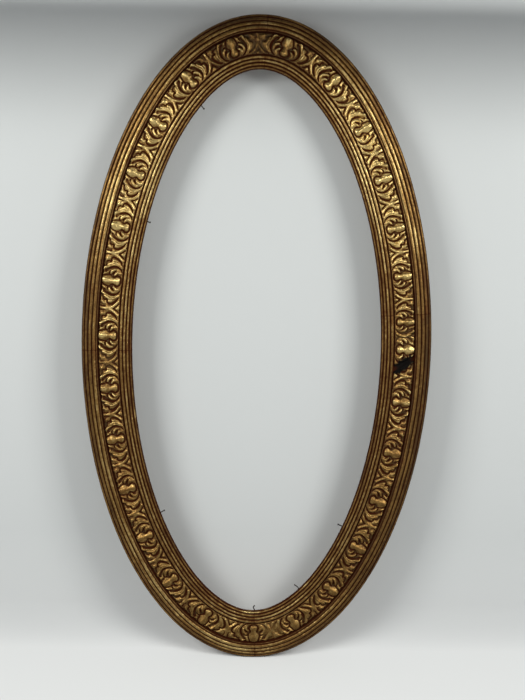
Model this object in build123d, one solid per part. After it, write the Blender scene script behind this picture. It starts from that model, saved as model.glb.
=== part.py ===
from build123d import *
from bisect import bisect_left
from math import cos, hypot, pi, radians, sin
import os

# Antique gilt oval frame. Z runs up the long axis, X across, and the face looks along -Y.
# Every point of the frame has an angle on the outer oval (0 at the right, 90 at the top),
# an inset from the outer edge towards the opening, and a height in front of the back plane.

# The oval and its rail
overall_width = 356.0
overall_height = 660.0
rail_width = 51.0

# Two glued layers: the back rails, and the moulded face rails in front of them
back_layer_thickness = 11.0
rabbet_width = 6.5
back_edge_setback = 2.5
back_edge_chamfer = 2.0
face_rail_angles = {
    "upper_right": (7.5, 88.0),
    "upper_left": (88.0, 179.9),
    "lower_left": (179.9, 271.0),
    "lower_right": (271.0, 367.5),
}
back_rail_angles = {
    "top": (32.0, 148.0),
    "left": (148.0, 212.0),
    "bottom": (212.0, 328.0),
    "right": (328.0, 392.0),
}

# Reeded shoulders of the moulding, as heights above the back of the face rails
outer_bundle_width = 15.2
outer_bundle_foot = 3.8
outer_bundle_rise = 4.0
inner_bundle_width = 12.8
inner_bundle_foot = 2.2
inner_bundle_rise = 3.0
reed_groove_shares = (0.13, 0.43, 0.64, 0.82, 1.0)
reed_bulge_share = 0.24

# Bead beside the outer reeds, and the channel that the ornament lies in
bead_radius = 0.6
bead_drop = 1.2
channel_depth = 4.8
channel_wall_slope = 0.6

# Pressed ornament strips
strip_clearance = 0.25
strip_ground_thickness = 0.9
ornament_height = 3.3
ornament_draft_share = 0.24
ornament_sink_share = 0.5
bell_height_share = 1.0
leaf_height_share = 0.88
stem_height_share = 0.62
dart_height_share = 0.5
repeats_in_strip = 7

# Each strip: where it starts, its first, middle and last bell, and where it ends
strip_angles = {
    "upper_right": (3.5, 6.2, 34.1, 79.4, 91.2),
    "upper_left": (91.2, 102.3, 145.6, 177.1, 182.1),
    "lower_left": (182.1, 187.0, 218.9, 270.6, 279.2),
}
broken_strip_angles = (279.2, 288.9, 330.3, 361.0, 363.5)

# Slanting break in the lower right strip: angles of its two sides at the band's two edges
break_lower_angles = (358.8, 356.2)
break_upper_angles = (360.4, 357.8)
break_overrun_share = 1.0

# Glazing brads, by their angle on the oval and the lean of their tip
brad_diameter = 1.1
brad_length = 20.0
brad_showing = 4.5
brad_height_share = 0.45
brad_point_share = 0.2
brad_tip_share = 0.25
brad_hole_clearance = 0.05
brad_places = ((123.3, 10.0), (154.3, 0.0), (215.2, -10.0), (268.7, -30.0), (298.6, 18.0), (321.4, 0.0))

# Screw eyes in the back, a third of the way down
eye_angles = (20.0, 160.0)
eye_wire_radius = 1.2
eye_inner_radius = 3.5
eye_neck_length = 2.0
eye_shank_radius = 1.3
eye_shank_length = 7.5
eye_point_length = 2.0
eye_tip_share = 0.25
eye_hole_clearance = 0.05
eye_hole_spare_depth = 0.8
eye_place_share = 0.5

# One overrun serves all cuts
cut_overrun = 3.0

# Worked out from the sizes above
half_width = overall_width / 2
half_height = overall_height / 2
back_rail_width = rail_width - rabbet_width
eye_ring_radius = eye_inner_radius + eye_wire_radius
eye_reach = eye_neck_length + 2 * eye_ring_radius + eye_wire_radius
face_back = back_layer_thickness
crest_start, crest_end = (share * pi / 2 for share in reed_groove_shares[-2:])
crest_width = outer_bundle_width * (cos(crest_start) - cos(crest_end))
crest_rise = outer_bundle_rise * (sin(crest_start) + sin(crest_end)) / 2 + reed_bulge_share * crest_width
frame_depth = face_back + outer_bundle_foot + crest_rise
channel_floor = face_back + outer_bundle_foot + outer_bundle_rise - channel_depth
channel_outer_inset = outer_bundle_width + 2 * bead_radius + channel_wall_slope
channel_inner_inset = rail_width - inner_bundle_width
band_outer_inset = channel_outer_inset + strip_clearance
band_inner_inset = channel_inner_inset - channel_wall_slope - strip_clearance
band_middle_inset = (band_outer_inset + band_inner_inset) / 2
back_plane = (frame_depth - eye_reach) / 2

# The motif's outlines. Each point is (along, across): along is a share of one repeat from the
# bell's middle, across a share of the band from its outer edge. Sides are matched in pairs.
bell_sides_shares = (
    ((0.0, 0.025), (0.0, 0.025)),
    ((-0.060, 0.045), (0.060, 0.045)),
    ((-0.100, 0.13), (0.100, 0.13)),
    ((-0.070, 0.38), (0.070, 0.38)),
    ((-0.050, 0.60), (0.050, 0.60)),
    ((-0.077, 0.78), (0.077, 0.78)),
    ((-0.050, 0.91), (0.050, 0.91)),
    ((0.0, 0.94), (0.0, 0.94)),
)
inner_leaf_sides_shares = (
    ((0.130, 0.13), (0.130, 0.13)),
    ((0.145, 0.31), (0.185, 0.19)),
    ((0.135, 0.42), (0.225, 0.36)),
    ((0.180, 0.58), (0.240, 0.58)),
    ((0.110, 0.62), (0.222, 0.77)),
    ((0.105, 0.95), (0.170, 0.95)),
)
outer_leaf_sides_shares = (
    ((0.175, 0.10), (0.175, 0.10)),
    ((0.215, 0.12), (0.225, 0.03)),
    ((0.250, 0.22), (0.290, 0.18)),
    ((0.275, 0.33), (0.345, 0.12)),
    ((0.292, 0.48), (0.365, 0.33)),
    ((0.298, 0.62), (0.410, 0.36)),
    ((0.290, 0.74), (0.400, 0.55)),
    ((0.270, 0.86), (0.350, 0.78)),
    ((0.215, 0.96), (0.275, 0.96)),
)
stem_sides_shares = (
    ((0.455, 0.03), (0.493, 0.03)),
    ((0.447, 0.34), (0.493, 0.34)),
    ((0.430, 0.57), (0.487, 0.50)),
    ((0.385, 0.78), (0.455, 0.73)),
    ((0.300, 0.97), (0.392, 0.97)),
)
dart_sides_shares = (
    ((0.500, 0.66), (0.500, 0.66)),
    ((0.452, 0.94), (0.548, 0.94)),
)


def oval_normal(angle):
    """Unit vector from the outer oval towards the opening."""
    turn = radians(angle)
    across = -half_height * cos(turn)
    up = -half_width * sin(turn)
    length = hypot(across, up)
    return Vector(across / length, 0, up / length)


def on_rail(angle, inset, height):
    """A point by its angle on the outer oval, its inset and its height off the back plane."""
    turn = radians(angle)
    edge = Vector(half_width * cos(turn), back_plane - height, half_height * sin(turn))
    return edge + oval_normal(angle) * inset


def section_plane(angle):
    """Plane across the rail: x is the inset, y the height off the back plane."""
    inward = oval_normal(angle)
    return Plane(origin=on_rail(angle, 0, 0), x_dir=inward, z_dir=inward.cross(Vector(0, -1, 0)))


def oval_arc(start, end):
    """Stretch of the outer oval in the back plane."""
    upright = Plane(origin=(0, back_plane, 0), x_dir=(0, 0, 1), z_dir=(0, -1, 0))
    top = 90
    return Edge.make_ellipse(
        half_height, half_width, plane=upright, start_angle=start - top, end_angle=end - top
    )


def table_of_lengths(inset):
    """Angles at equal steps, and the length run along the rail at the given inset."""
    steps_per_degree = 5
    first_angle = -40
    last_angle = 420
    count = (last_angle - first_angle) * steps_per_degree
    angles = [first_angle + step / steps_per_degree for step in range(count)]
    lengths = [0.0]
    previous = on_rail(angles[0], inset, 0)
    for angle in angles[1:]:
        point = on_rail(angle, inset, 0)
        lengths.append(lengths[-1] + (point - previous).length)
        previous = point
    return angles, lengths


band_angles, band_lengths = table_of_lengths(band_middle_inset)


def length_at(angle):
    """Length run along the middle of the band at an angle."""
    step = band_angles[1] - band_angles[0]
    place = (angle - band_angles[0]) / step
    low = int(place)
    return band_lengths[low] + (place - low) * (band_lengths[low + 1] - band_lengths[low])


def angle_at(length):
    """Angle at a length run along the middle of the band."""
    high = bisect_left(band_lengths, length)
    low = high - 1
    share = (length - band_lengths[low]) / (band_lengths[high] - band_lengths[low])
    return band_angles[low] + share * (band_angles[high] - band_angles[low])


def reed_points(width, foot, rise, from_inner):
    """Grooves between the reeds of one shoulder, on a quarter of an ellipse, from its low edge."""
    points = []
    for share in reed_groove_shares:
        turn = share * pi / 2
        across = width * (1 - cos(turn))
        inset = rail_width - across if from_inner else across
        points.append((inset, face_back + foot + rise * sin(turn)))
    return points


def reed_arc(start, end):
    """One reed: an arc that bulges to the front between two grooves."""
    along = end[0] - start[0]
    up = end[1] - start[1]
    middle = (
        (start[0] + end[0]) / 2 - up * reed_bulge_share,
        (start[1] + end[1]) / 2 + along * reed_bulge_share,
    )
    return ThreePointArc(start, middle, end)


def face_section(angle):
    """Moulding profile: outer reeds, bead, ornament channel, inner reeds and the sight lip."""
    outer = reed_points(outer_bundle_width, outer_bundle_foot, outer_bundle_rise, False)
    inner = reed_points(inner_bundle_width, inner_bundle_foot, inner_bundle_rise, True)[::-1]
    bead_height = outer[-1][1] - bead_drop
    bead_start = (outer[-1][0], bead_height)
    bead_top = (bead_start[0] + bead_radius, bead_height + bead_radius)
    bead_end = (bead_start[0] + 2 * bead_radius, bead_height)
    with BuildSketch(section_plane(angle)) as section:
        with BuildLine():
            Polyline((rail_width, face_back), (0, face_back), (0, face_back + outer_bundle_foot), outer[0])
            for start, end in zip(outer, outer[1:]):
                reed_arc(start, end)
            Line(outer[-1], bead_start)
            ThreePointArc(bead_start, bead_top, bead_end)
            Polyline(
                bead_end,
                (channel_outer_inset, channel_floor),
                (channel_inner_inset - channel_wall_slope, channel_floor),
                inner[0],
            )
            for start, end in zip(inner, inner[1:]):
                reed_arc(start, end)
            Polyline(inner[-1], (rail_width, face_back + inner_bundle_foot), (rail_width, face_back))
        make_face()
    return section.sketch


def back_section(angle):
    """Back rail: a plain board whose inner edge is the rabbet wall."""
    with BuildSketch(section_plane(angle)) as section:
        with BuildLine():
            Polyline(
                (back_edge_setback + back_edge_chamfer, 0),
                (back_rail_width, 0),
                (back_rail_width, back_layer_thickness),
                (back_edge_setback, back_layer_thickness),
                (back_edge_setback, back_edge_chamfer),
                close=True,
            )
        make_face()
    return section.sketch


def rail(section, start, end):
    """A quarter of the oval, its section swept along the outer oval between two butt joints."""
    return sweep(section(start), path=oval_arc(start, end)).solids()[0]


def brad_axis(angle, lean):
    """Tip of a brad in the opening, and its direction from point to tip."""
    height = brad_height_share * back_layer_thickness
    tip = on_rail(angle, rail_width + brad_showing, height)
    direction = oval_normal(angle).rotate(Axis.Y, lean)
    return tip, direction


def brad(angle, lean):
    """A headless brad: a round shank with a drawn-out point in the rabbet wall."""
    tip, direction = brad_axis(angle, lean)
    radius = brad_diameter / 2
    point_length = brad_length * brad_point_share
    start = tip - direction * brad_length
    shank_start = start + direction * point_length
    with BuildPart() as made:
        with Locations(Plane(origin=shank_start, z_dir=direction)):
            Cylinder(radius, brad_length - point_length, align=(Align.CENTER, Align.CENTER, Align.MIN))
        with Locations(Plane(origin=start, z_dir=direction)):
            Cone(radius * brad_tip_share, radius, point_length, align=(Align.CENTER, Align.CENTER, Align.MIN))
    return made.part.solids()[0]


def brad_hole(angle, lean):
    """Hole that a brad made in the rabbet wall."""
    tip, direction = brad_axis(angle, lean)
    start = tip - direction * (brad_length + brad_diameter)
    radius = brad_diameter / 2 + brad_hole_clearance
    seat = Plane(origin=start, z_dir=direction)
    up = (Align.CENTER, Align.CENTER, Align.MIN)
    return seat * Cylinder(radius, brad_length + brad_diameter, align=up)


def eye_seat(angle):
    """Plane on the back face where a screw eye enters: z points out of the back."""
    place = on_rail(angle, eye_place_share * (back_edge_setback + back_rail_width), 0)
    return Plane(origin=place, x_dir=(1, 0, 0), z_dir=(0, 1, 0))


def screw_eye(angle):
    """Wire ring, neck, round shank and point. The ring's hole runs along X."""
    ring_centre = Location((0, 0, eye_neck_length + eye_ring_radius))
    low = (Align.CENTER, Align.CENTER, Align.MAX)
    with BuildPart() as made:
        with Locations(ring_centre):
            Torus(eye_ring_radius, eye_wire_radius, rotation=(0, 90, 0))
        with Locations((0, 0, eye_neck_length)):
            Cylinder(eye_shank_radius, eye_neck_length + eye_shank_length, align=low)
        with Locations((0, 0, -eye_shank_length)):
            Cone(eye_shank_radius * eye_tip_share, eye_shank_radius, eye_point_length, align=low)
    return eye_seat(angle) * made.part.solids()[0]


def eye_hole(angle):
    """Pilot hole for a screw eye."""
    depth = eye_shank_length + eye_point_length + eye_hole_spare_depth
    radius = eye_shank_radius + eye_hole_clearance
    low = (Align.CENTER, Align.CENTER, Align.MAX)
    mouth = Location((0, 0, cut_overrun))
    return eye_seat(angle) * (mouth * Cylinder(radius, depth + cut_overrun, align=low))


def bells_of(first, middle, last):
    """Length along the band and room along it of each bell: evenly growing steps."""
    steps = repeats_in_strip - 1
    start, halfway, end = length_at(first), length_at(middle), length_at(last)
    growth = (end + start - 2 * halfway) / 2
    bells = []
    for count in range(repeats_in_strip):
        share = 2 * count / steps
        place = start + share * (halfway - start) + share * (share - 1) * growth
        room = (halfway - start + (2 * share - 1) * growth) * 2 / steps
        bells.append((place, room))
    return bells


def on_band(place, room, spot, height):
    """A point of the motif: along the band in shares of its room, across it from the outer edge."""
    inset = band_outer_inset + spot[1] * (band_inner_inset - band_outer_inset)
    return on_rail(angle_at(place + spot[0] * room), inset, height)


def between(start, end, share):
    """A point of the motif's plane between two others."""
    return (start[0] + share * (end[0] - start[0]), start[1] + share * (end[1] - start[1]))


def drawn_in(sides):
    """The crest's sides: each pair closer together, and the two ends pulled towards their neighbours."""
    crest = [(between(a, b, ornament_draft_share), between(b, a, ornament_draft_share)) for a, b in sides]
    middles = [between(a, b, 1 / 2) for a, b in sides]
    for end, neighbour in ((0, 1), (-1, -2)):
        pulled = between(middles[end], middles[neighbour], ornament_draft_share)
        step = (pulled[0] - middles[end][0], pulled[1] - middles[end][1])
        crest[end] = tuple((spot[0] + step[0], spot[1] + step[1]) for spot in crest[end])
    return crest


def ring_of(sides):
    """Down one side and back up the other, with a pointed end counted once."""
    left = [pair[0] for pair in sides]
    right = [pair[1] for pair in sides if pair[0] != pair[1]]
    return left + right[::-1]


def relief(place, room, sides, height_share):
    """One raised element: a ruled loft from its outline to a crest drawn in on all sides."""
    foot = channel_floor + ornament_sink_share * strip_ground_thickness
    top = channel_floor + strip_ground_thickness + height_share * ornament_height
    wires = []
    for ring, height in ((ring_of(sides), foot), (ring_of(drawn_in(sides)), top)):
        wires.append(Wire.make_polygon([on_band(place, room, spot, height) for spot in ring], close=True))
    return Solid.make_loft(wires, ruled=True)


def mirrored(sides):
    """The same element on the other side of the bell."""
    return tuple(((-b[0], b[1]), (-a[0], a[1])) for a, b in sides)


def motif(place, room):
    """One repeat: bell, inner and outer leaves, and the stems and darts at its two ends."""
    made = [relief(place, room, bell_sides_shares, bell_height_share)]
    for sides, height_share in (
        (inner_leaf_sides_shares, leaf_height_share),
        (outer_leaf_sides_shares, leaf_height_share),
        (stem_sides_shares, stem_height_share),
    ):
        made.append(relief(place, room, sides, height_share))
        made.append(relief(place, room, mirrored(sides), height_share))
    made.append(relief(place, room, dart_sides_shares, dart_height_share))
    return made


def band_section(angle, low, high, margin):
    """Rectangle across the band between two heights, wider than the band by a margin each side."""
    with BuildSketch(section_plane(angle)) as section:
        with Locations((band_middle_inset, (low + high) / 2)):
            Rectangle(band_inner_inset - band_outer_inset + 2 * margin, high - low)
    return section.sketch


def ornament_strip(start, first, middle, last, end):
    """A pressed strip: its ground, the motifs on it, and both ends trimmed square at the joints."""
    path = oval_arc(start, end)
    ground_top = channel_floor + strip_ground_thickness
    over_all = ground_top + ornament_height + cut_overrun
    ground = sweep(band_section(start, channel_floor, ground_top, 0), path=path)
    room_kept = sweep(band_section(start, channel_floor - cut_overrun, over_all, cut_overrun), path=path)
    raised = []
    for place, room in bells_of(first, middle, last):
        raised += motif(place, room)
    return (ground + raised) & room_kept


def break_in_strip():
    """What is missing from the lower right strip: a slanting slice right through it."""
    sides = []
    for angles in (break_lower_angles, break_upper_angles):
        start, end = (length_at(angle) for angle in angles)
        beyond = (end - start) * break_overrun_share
        sides.append([(start - beyond, -break_overrun_share), (end + beyond, 1 + break_overrun_share)])
    corners = sides[0] + sides[1][::-1]
    points = [on_band(place, 0, (0, spot), 0) for place, spot in corners]
    face = Face(Wire.make_polygon(points, close=True))
    return extrude(face, amount=frame_depth, dir=(0, -1, 0))


def back_rail(start, end):
    """A back rail with the holes of the brads and screw eyes that enter it."""
    made = rail(back_section, start, end)
    holes = [brad_hole(*place) for place in brad_places if start < place[0] < end]
    holes += [eye_hole(angle) for angle in eye_angles if start < angle < end or start < angle + 360 < end]
    for hole in holes:
        made = made - hole
    return made.solids()[0]


def save(node, shape):
    """Write one piece to its own file."""
    shape.label = node
    export_step(shape, os.path.join("parts", node + ".step"))


os.makedirs("parts", exist_ok=True)
for side, angles in face_rail_angles.items():
    save("face_rail_" + side, rail(face_section, *angles))
for side, angles in back_rail_angles.items():
    save("back_rail_" + side, back_rail(*angles))
for side, angles in strip_angles.items():
    save("ornament_strip_" + side, ornament_strip(*angles).solids()[0])
broken = ornament_strip(*broken_strip_angles) - break_in_strip()
lower, upper = sorted(broken.solids(), key=lambda solid: solid.center().Z)
save("ornament_strip_lower_right", lower)
save("ornament_strip_broken_end", upper)
save("glazing_brads", Compound(children=[brad(*place) for place in brad_places]))
for side, angle in zip(("right", "left"), eye_angles):
    save("screw_eye_" + side, screw_eye(angle))
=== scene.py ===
import bmesh
import bpy
import numpy as np
from bpy.props import FloatProperty, FloatVectorProperty, PointerProperty
from mathutils import Matrix, Vector


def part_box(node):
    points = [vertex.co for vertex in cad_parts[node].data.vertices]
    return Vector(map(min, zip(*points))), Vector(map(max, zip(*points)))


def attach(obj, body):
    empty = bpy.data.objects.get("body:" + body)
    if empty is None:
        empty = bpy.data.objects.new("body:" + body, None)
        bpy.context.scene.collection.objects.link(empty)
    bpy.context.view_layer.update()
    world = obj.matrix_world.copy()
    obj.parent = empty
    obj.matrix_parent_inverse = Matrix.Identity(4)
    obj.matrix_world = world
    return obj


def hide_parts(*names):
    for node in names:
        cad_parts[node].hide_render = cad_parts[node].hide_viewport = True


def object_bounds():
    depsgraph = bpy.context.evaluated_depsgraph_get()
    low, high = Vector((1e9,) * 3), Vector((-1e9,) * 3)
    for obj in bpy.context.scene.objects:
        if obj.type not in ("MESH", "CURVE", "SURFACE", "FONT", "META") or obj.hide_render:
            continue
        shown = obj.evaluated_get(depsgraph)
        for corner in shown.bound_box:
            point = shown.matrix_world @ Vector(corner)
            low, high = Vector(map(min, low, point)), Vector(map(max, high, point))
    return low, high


bl_info = {
    "name": "Oval gilt frame",
    "version": (1, 0, 0),
    "blender": (4, 5, 0),
    "location": "3D View > Sidebar > Oval Frame",
    "description": "Dresses the oval frame: gilded mouldings, ornament, bare back, brads and screw eyes",
    "category": "Object",
}

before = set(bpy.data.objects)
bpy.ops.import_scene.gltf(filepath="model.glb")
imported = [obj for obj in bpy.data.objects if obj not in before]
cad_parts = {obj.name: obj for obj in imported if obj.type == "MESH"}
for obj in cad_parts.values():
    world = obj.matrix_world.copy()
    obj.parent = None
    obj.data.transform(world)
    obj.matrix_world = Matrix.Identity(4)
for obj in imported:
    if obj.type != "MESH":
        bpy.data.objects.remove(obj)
cad_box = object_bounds()
MM = 0.001

# Angles run round the outer oval, 0 at the right and 90 at the top. The face looks along -Y.
FACE_RAILS = {
    "upper_right": (7.5, 88.0),
    "upper_left": (88.0, 179.9),
    "lower_left": (179.9, 271.0),
    "lower_right": (271.0, 367.5),
}

# Each strip: its start, its first, middle and last bell, and its end
STRIPS = {
    "upper_right": (3.5, 6.2, 34.1, 79.4, 91.2),
    "upper_left": (91.2, 102.3, 145.6, 177.1, 182.1),
    "lower_left": (182.1, 187.0, 218.9, 270.6, 279.2),
    "lower_right": (279.2, 288.9, 330.3, 361.0, 363.5),
}
REPEATS = 7

# The break in the lower right strip: its sides at the band's outer and inner edge
BREAK_LOWER = (358.9, 356.7)
BREAK_UPPER = (359.9, 357.8)

# Brads by angle, lean, millimetres missing at the end that shows, and that end's bend in degrees
BRADS = (
    (123.3, 10.0, 0.9, 0.0),
    (154.3, 0.0, 2.1, 0.0),
    (215.2, -10.0, 1.3, 0.0),
    (268.7, -30.0, 2.3, 66.0),
    (298.6, 18.0, 0.45, -30.0),
    (321.4, 0.0, 0.9, 0.0),
)
BRAD_LENGTH = 20.0
BRAD_SHOWING = 4.5
# Height of the brads in the back layer, as a share of its depth
BRAD_LEVEL = 0.45
# Distances from the end of a whole brad between which the bend lies
BRAD_BEND = (4.0, 5.5)
# Distances and radii: the head from the end that is left, and the point in the wood from the whole end
BRAD_HEAD = ((0.0, 0.7), (0.15, 0.85), (0.6, 0.85), (0.9, 0.55))
BRAD_POINT = ((16.0, 0.55), (BRAD_LENGTH, 0.14))

# Screw eyes: radii of the wire, the shank and the ring, and pitch and depth of the thread
EYE_SIDES = ("right", "left")
EYE_WIRE = 1.2
EYE_SHANK = 1.25
EYE_RING = 4.7
THREAD_PITCH = 1.1
THREAD_DEPTH = 0.16

# Heights and insets of the moulding in millimetres
LAYER_BACK = 11.0
# Each shoulder of reeds: its width, its foot above the back layer, its rise, and the reach of its dirt
OUTER_REEDS = (15.2, 3.8, 4.0, 0.72)
INNER_REEDS = (12.8, 2.2, 3.0, 0.92)
REED_GROOVES = (0.13, 0.43, 0.64, 0.82, 1.0)
REED_BULGE = 0.24
GROOVE_DEPTH = 0.9
GROOVE_HALF = 0.55
BEAD_RADIUS = 0.6
BEAD_DROP = 1.2
CHANNEL_FLOOR = 14.0
CHANNEL_OUTER = 17.0
CHANNEL_INNER = 37.6
BAND_OUTER = 17.25
BAND_INNER = 37.35
GROUND = 0.9
RELIEF = 3.25

# Fineness of the meshes: points on an arc between grooves, millimetres between the sections of a rail
# and between the rows of a strip, points in a row, and points of one repeat along and across
ARC_POINTS = 15
RAIL_STEP = 0.9
ROW_STEP = 0.33
ROW_POINTS = 68
FIELD_SIZE = (356, 136)

# Old toning by inset, from 0 for clean leaf to 1 for dark brown; the darker outer side and outermost reeds
# are partly painted shade
TONE_INSETS = (
    0, 3.2, 3.5, 6.9, 7.2, 10.8, 11.1, 14.9, 15.4, 17.0, 38.2, 41.6, 41.9, 44.7, 45.0, 47.9, 48.2, 51.0,
)
INSET_TONES_AND_SHADE = (
    0.66, 0.54, 0.56, 0.54, 0.42, 0.36, 0.40, 0.36, 0.60, 0.60, 0.44, 0.44, 0.40, 0.40, 0.48, 0.48, 0.54,
    0.62,
)

# Painted light and shade by angle, on the ornament and on the outer and inner reeds: how much darker the
# toning is made at each angle; positive values paint shade, as at the top, and negative ones paint highlight,
# as at the upper sides
PAINTED_LIGHT_ANGLES = (
    0, 15, 28, 50, 62, 76, 90, 104, 118, 130, 155, 168, 180, 205, 235, 262, 280, 300, 325, 345, 360,
)
ORNAMENT_PAINTED_LIGHT = (
    0.05, -0.02, -0.23, -0.23, 0.0, 0.26, 0.29, 0.26, 0.06, -0.21, -0.21, -0.02, 0.05, 0.03, 0.0, -0.08,
    -0.08, 0.06, 0.13, 0.10, 0.05,
)
OUTER_PAINTED_LIGHT = (
    0.18, 0.12, -0.03, -0.03, 0.02, 0.08, 0.11, 0.08, 0.04, 0.0, 0.0, 0.08, 0.13, 0.02, -0.03, 0.02,
    0.02, 0.10, 0.20, 0.20, 0.18,
)
INNER_PAINTED_LIGHT = (
    0.05, 0.0, -0.13, -0.13, -0.05, -0.03, -0.03, -0.03, -0.05, -0.13, -0.13, 0.0, 0.03, 0.02, 0.0,
    -0.03, -0.03, 0.0, 0.04, 0.05, 0.05,
)
# Toning of the ornament at middle height, and how much cleaner it gets on crests and with height: partly
# rubbed wear, partly painted highlight on crests and painted shade in low places
STRIP_TONE = 0.33
CREST_WEAR_AND_HIGHLIGHT = 1.3
HEIGHT_WEAR_AND_SHADE = 0.8

# Wear of the moulding in millimetres: mean, broad and small unevenness, wander of its lines, and the
# chipped corners at a joint
RAIL_WEAR = (0.10, 0.09, 0.06)
LINE_WANDER = 0.12
JOINT_CHIP = 0.16
# Dirt in a joint, and streaks of toning along the reeds, long and short
JOINT_DIRT = 0.5
STREAKS = (0.16, 0.10)
# How far along the oval a joint wears and smears what is round it
JOINT_REACH = 9.0
# Smear of the ornament: its mean, its swing, how much more at a joint, and the most
SMEAR = (0.08, 0.14, 0.5, 0.85)
SMEAR_PASSES = 90
# Reach of the scorch on moulding and ornament, whole up to the first distance and gone at the second
RAIL_SCORCH = (6.0, 13.0)
STRIP_SCORCH = (3.0, 6.2)
# How far a broken end crumbles, and the widths of rounding and dirt along the band's long edges
CRUMBLE = 1.6
EDGE_ROUNDING = 0.45
EDGE_DIRT = 0.4

# Places rubbed bright: angle, inset, reach along and across in millimetres, and strength
WORN_SPOTS = (
    (21.0, 9.0, 14.0, 4.0, 0.30), (152.0, 11.0, 26.0, 4.5, 0.25), (268.0, 50.0, 7.0, 1.6, 0.7),
    (262.0, 10.0, 22.0, 4.0, 0.22), (276.0, 6.0, 16.0, 3.0, 0.22), (148.0, 47.0, 22.0, 2.5, 0.25),
    (192.5, 50.4, 5.0, 1.2, 0.6), (188.6, 50.6, 4.0, 1.0, 0.5), (88.5, 9.0, 5.0, 3.0, 0.30),
    (38.0, 43.0, 20.0, 4.0, 0.18), (301.0, 49.0, 8.0, 1.4, 0.4), (270.0, 50.4, 38.0, 1.7, 0.35),
)

# Places where the pressed ornament is smeared or filled: angle, distance across, reaches and strength
SMEARS = ((279.0, 10.0, 12.0, 9.0, 0.5), (92.0, 9.0, 9.0, 9.0, 0.3), (3.0, 8.0, 9.0, 7.0, 0.3))

# One repeat of the ornament, 53.4 mm long on a band 20.2 mm wide, as carving strokes on the right side
# of the bell. Each point is (along from the bell's middle, across from the outer edge, half width) in
# millimetres and a height or depth as a share of the relief.
REPEAT_LENGTH = 53.4
BAND_WIDTH = 20.2
RAISED = (
    ((0, 0.6, 3.6, 0.42), (0, 3.0, 3.3, 0.52), (0, 6.0, 2.7, 0.42), (0, 10.0, 2.1, 0.26),
     (0, 15.4, 2.9, 0.34)),
    ((5.4, 1.2, 0.9, 0.16), (6.6, 2.6, 1.3, 0.24), (7.4, 4.4, 1.2, 0.14)),
    ((7.0, 8.2, 0.9, 0.24), (9.0, 9.0, 1.3, 0.30), (11.0, 11.6, 1.4, 0.24), (11.2, 14.0, 1.3, 0.16)),
    ((4.9, 12.2, 0.8, 0.26), (6.6, 13.0, 1.2, 0.34), (8.2, 14.6, 1.6, 0.30), (8.2, 16.6, 1.6, 0.20)),
    ((9.6, 1.6, 0.9, 0.22), (11.4, 1.2, 1.2, 0.36), (12.4, 2.6, 1.3, 0.34), (13.6, 5.0, 1.2, 0.26),
     (15.3, 8.0, 1.3, 0.26), (16.0, 11.0, 1.3, 0.24), (15.4, 14.0, 1.2, 0.22), (13.4, 17.0, 1.1, 0.16)),
    ((15.2, 4.2, 1.0, 0.22), (16.0, 6.4, 1.2, 0.26), (17.6, 9.2, 1.6, 0.34), (17.4, 12.4, 1.6, 0.34),
     (16.0, 15.4, 1.3, 0.24), (13.6, 18.2, 1.0, 0.14)),
    ((19.6, 8.6, 1.0, 0.22), (19.8, 10.6, 1.0, 0.20), (18.6, 13.2, 1.0, 0.12)),
    ((20.4, 2.2, 1.2, 0.18), (21.6, 3.4, 1.3, 0.22), (21.6, 5.2, 1.0, 0.12)),
    ((26.7, 0.8, 2.4, 0.16), (26.7, 5.0, 1.6, 0.26), (26.2, 9.0, 1.4, 0.20), (24.6, 12.8, 1.2, 0.24),
     (22.6, 15.6, 1.1, 0.24), (20.0, 18.0, 1.0, 0.18)),
    ((26.7, 17.6, 1.5, 0.24), (26.7, 19.4, 2.0, 0.20)),
)
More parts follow.
